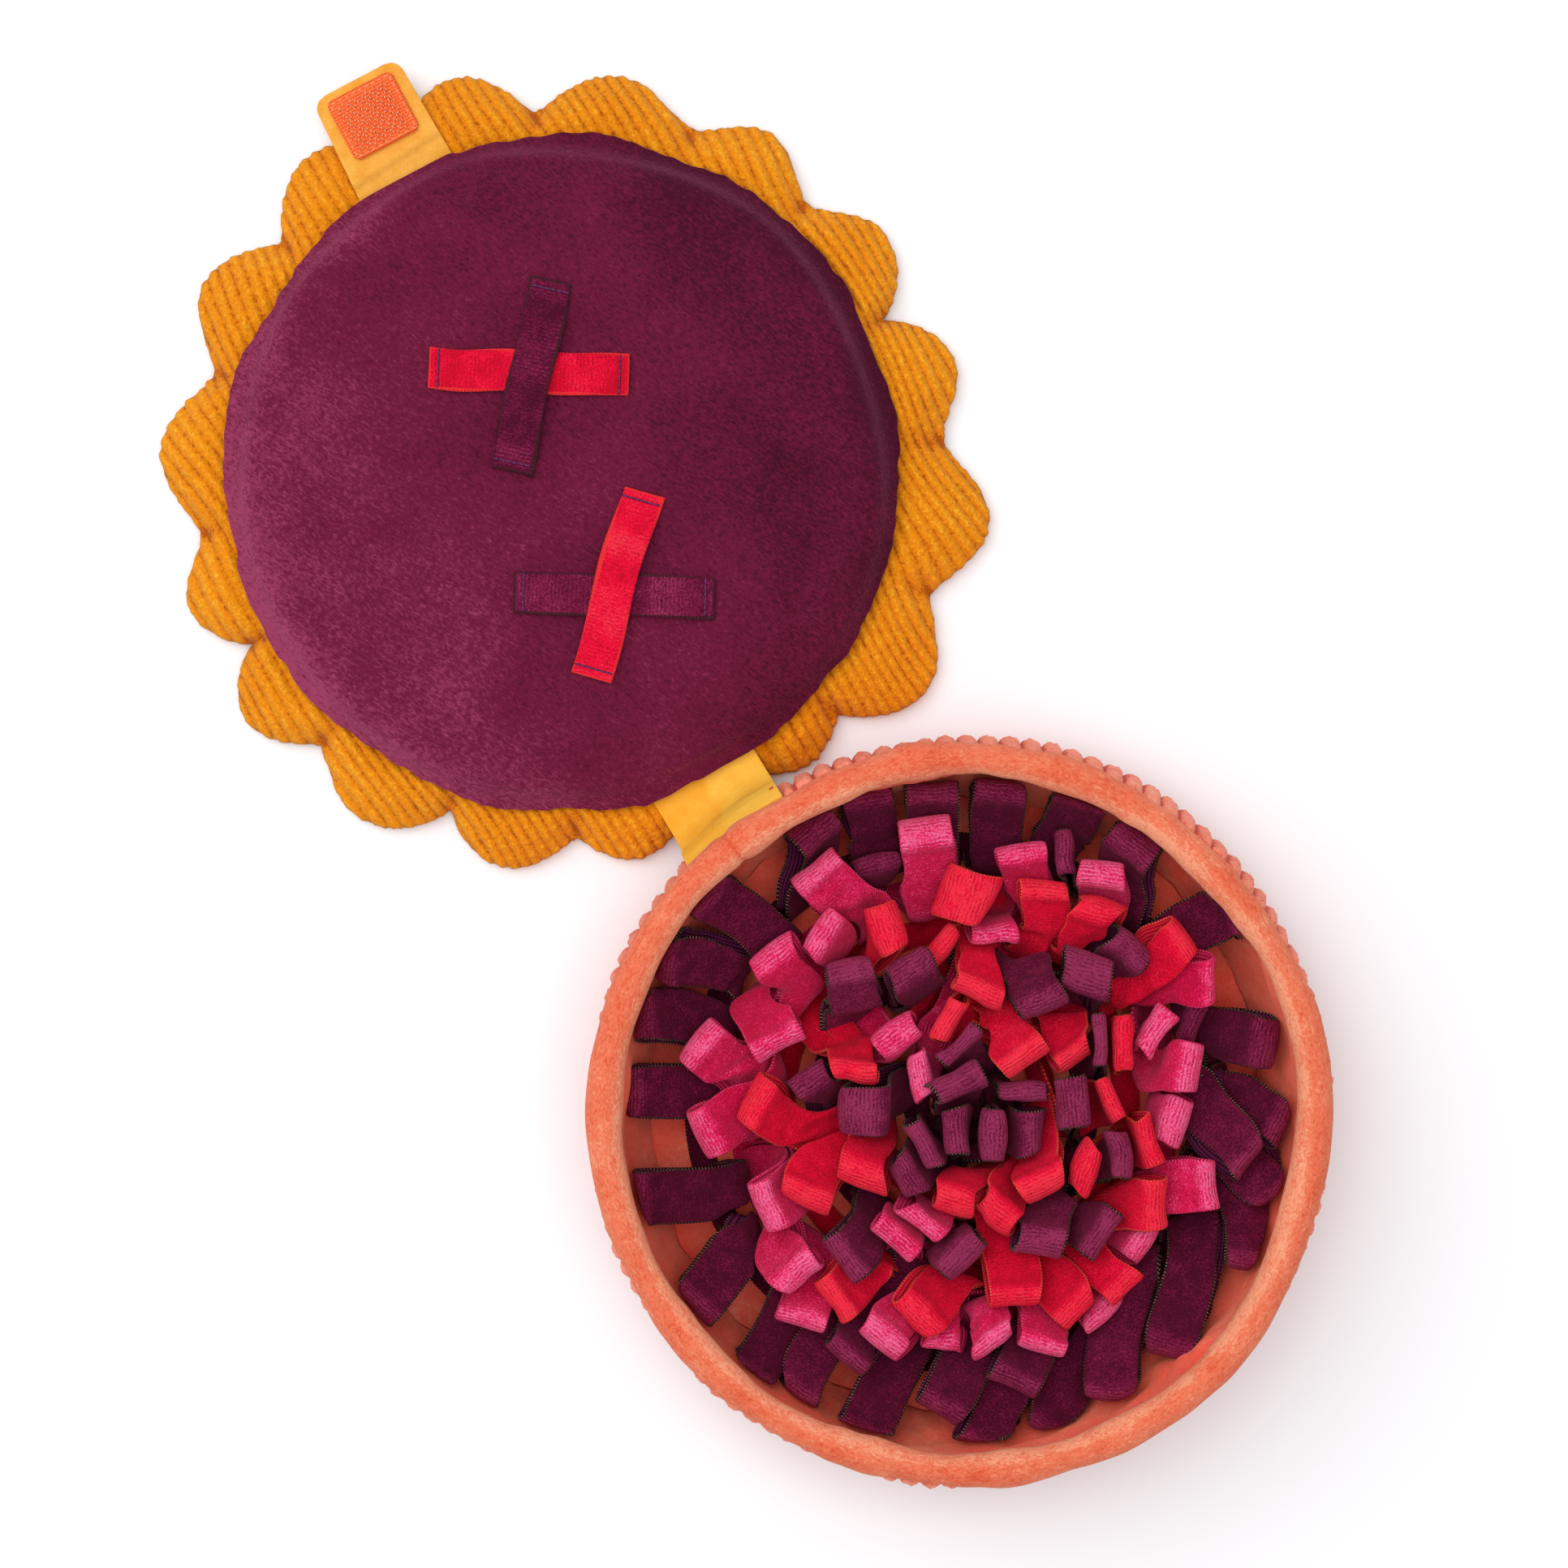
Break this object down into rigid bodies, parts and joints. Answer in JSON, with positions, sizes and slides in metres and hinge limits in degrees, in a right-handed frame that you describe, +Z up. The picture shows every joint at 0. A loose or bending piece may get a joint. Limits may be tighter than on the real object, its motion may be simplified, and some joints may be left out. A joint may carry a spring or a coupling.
{
  "type": "plush snuffle toy",
  "caption": "Round plush bowl full of sewn ribbon loops for hiding treats, with a scalloped padded lid on a felt strap and a hook-tape closure tab.",
  "frame": {"origin": "middle of the bowl's flat base", "axes": "+Y from the bowl towards the open lid, +Z up out of the bowl, +X along the hinge axis"},
  "size_m": [0.2833, 0.5398, 0.07],
  "materials": {
    "salmon_rib": "short ribbed plush, matt",
    "coral_plush": "short plush, matt",
    "orange_lining": "velour, matt",
    "foam": "soft foam, matt",
    "wadding": "loose fibre, matt",
    "dark_ribbon": "velvet ribbon with woven edges",
    "pink_ribbon": "velvet ribbon",
    "red_ribbon": "velvet ribbon",
    "mustard_corduroy": "wide-wale corduroy, matt",
    "purple_plush": "short plush, matt with a soft sheen",
    "yellow_felt": "felt, matt",
    "tab_felt": "felt, matt",
    "hook_tape": "woven hook tape, slightly shiny"
  },
  "bodies": {
    "bowl": {"base_panel": "salmon_rib", "base_foam": "foam", "floor_lining": "orange_lining", "wall_cover": "salmon_rib", "wall_foam": "foam", "wall_lining": "orange_lining", "rim_cover": "coral_plush", "rim_wadding": "wadding", "loops_1_purple": "dark_ribbon", "loops_2_pink": "pink_ribbon", "loops_3_red": "red_ribbon", "loops_4_purple": "dark_ribbon", "loops_5_red": "red_ribbon", "loops_6_purple": "dark_ribbon", "hinge_strap_bowl": "yellow_felt"},
    "lid": {"crust_back": "mustard_corduroy", "crust_wadding": "wadding", "crust_face": "mustard_corduroy", "pad_filling": "wadding", "pad_cover": "purple_plush", "cross_1_under": "red_ribbon", "cross_1_over": "dark_ribbon", "cross_2_under": "dark_ribbon", "cross_2_over": "red_ribbon", "hinge_strap_lid": "yellow_felt", "tab_root": "tab_felt"},
    "tab": {"tab_flap": "tab_felt", "hook_patch": "hook_tape"}
  },
  "joints": [
    {"name": "lid_hinge", "type": "hinge", "parent": "bowl", "child": "lid", "pos_m": [0, 0.1293, 0.04485], "axis": [1, 0, 0], "range_deg": [0, 180]},
    {"name": "tab_fold", "type": "hinge", "parent": "lid", "child": "tab", "pos_m": [0.00894, 0.38639, 0.014], "axis": [0.9976, -0.0698, 0], "range_deg": [0, 90]}
  ]
}
